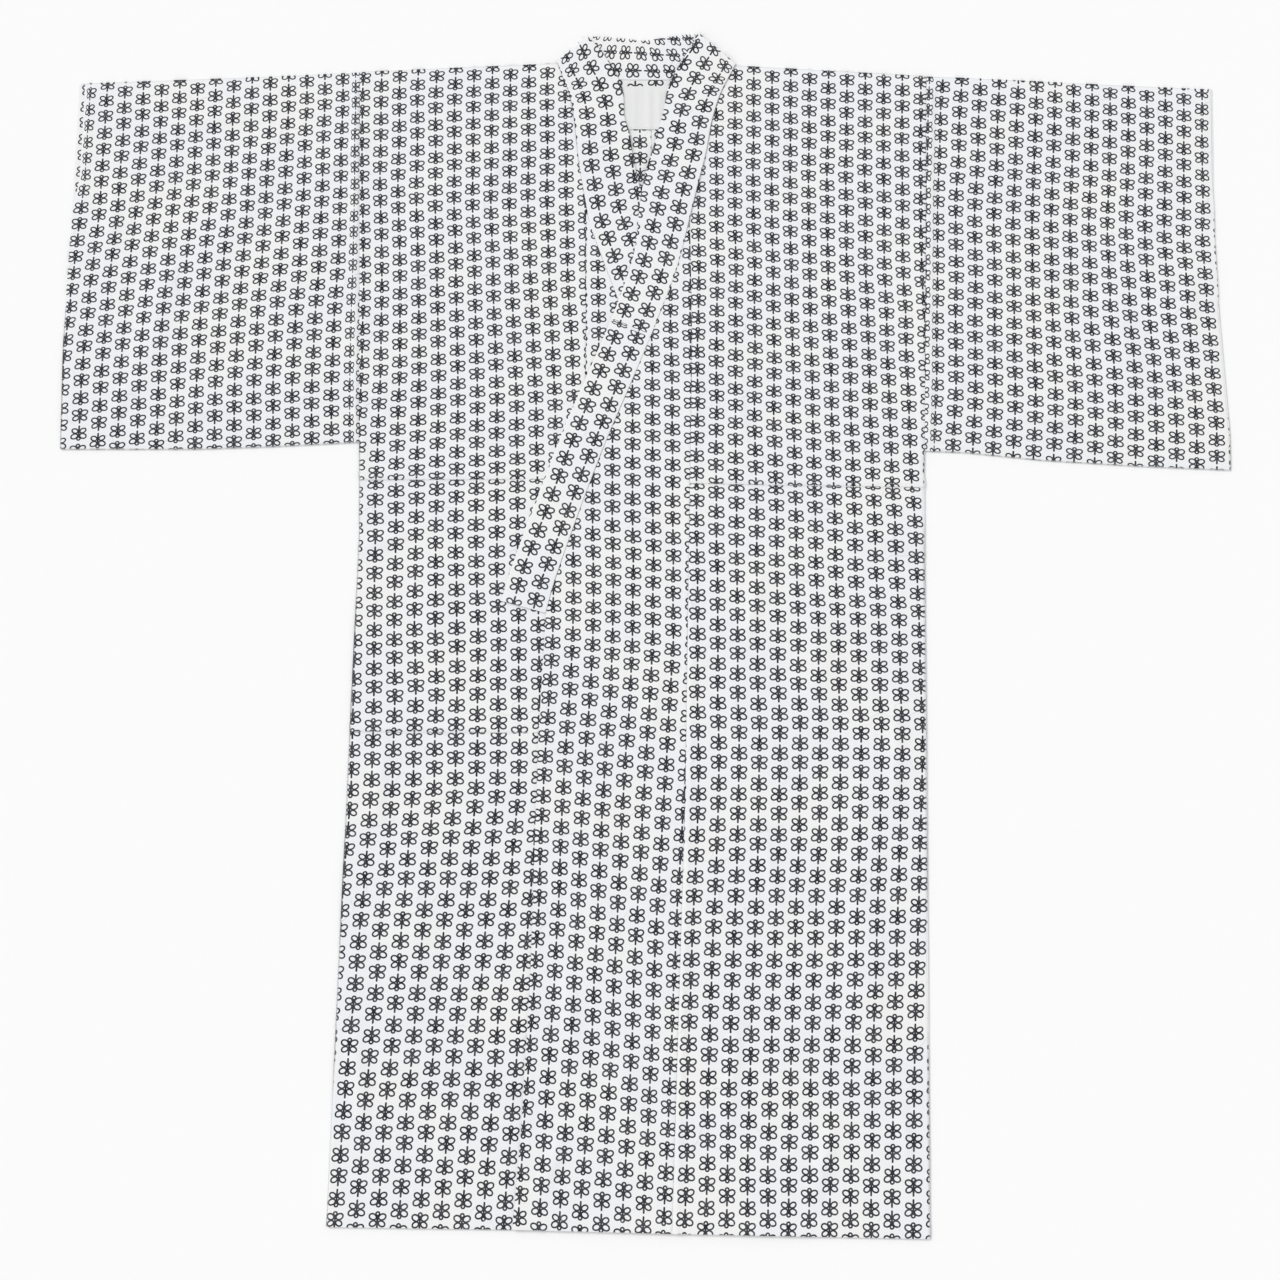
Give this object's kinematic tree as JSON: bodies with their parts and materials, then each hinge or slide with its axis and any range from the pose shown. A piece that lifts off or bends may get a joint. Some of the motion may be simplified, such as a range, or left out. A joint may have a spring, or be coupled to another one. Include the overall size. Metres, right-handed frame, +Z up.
{
  "type": "cotton yukata robe",
  "caption": "Unlined cotton summer robe laid flat with its front up: straight body panels, overlap panels, wide sleeves and a long band collar crossed at the front.",
  "frame": {"origin": "middle of the laid-out robe seen from above, on the surface that it lies on", "axes": "+Z up from the surface, +Y from the hem towards the collar, +X towards the viewer's right, which is the wearer's left"},
  "size_m": [1.405, 1.4466, 0.0057],
  "materials": {
    "printed_cotton": "matt plain-weave cotton, white with a small dark navy line print",
    "plain_cotton": "matt plain white cotton"
  },
  "bodies": {
    "root": {"body_left": "printed_cotton", "body_right": "printed_cotton", "okumi_left": "printed_cotton", "okumi_right": "printed_cotton", "sleeve_left": "printed_cotton", "sleeve_right": "printed_cotton", "collar": "printed_cotton", "neck_lining": "plain_cotton"}
  },
  "joints": []
}
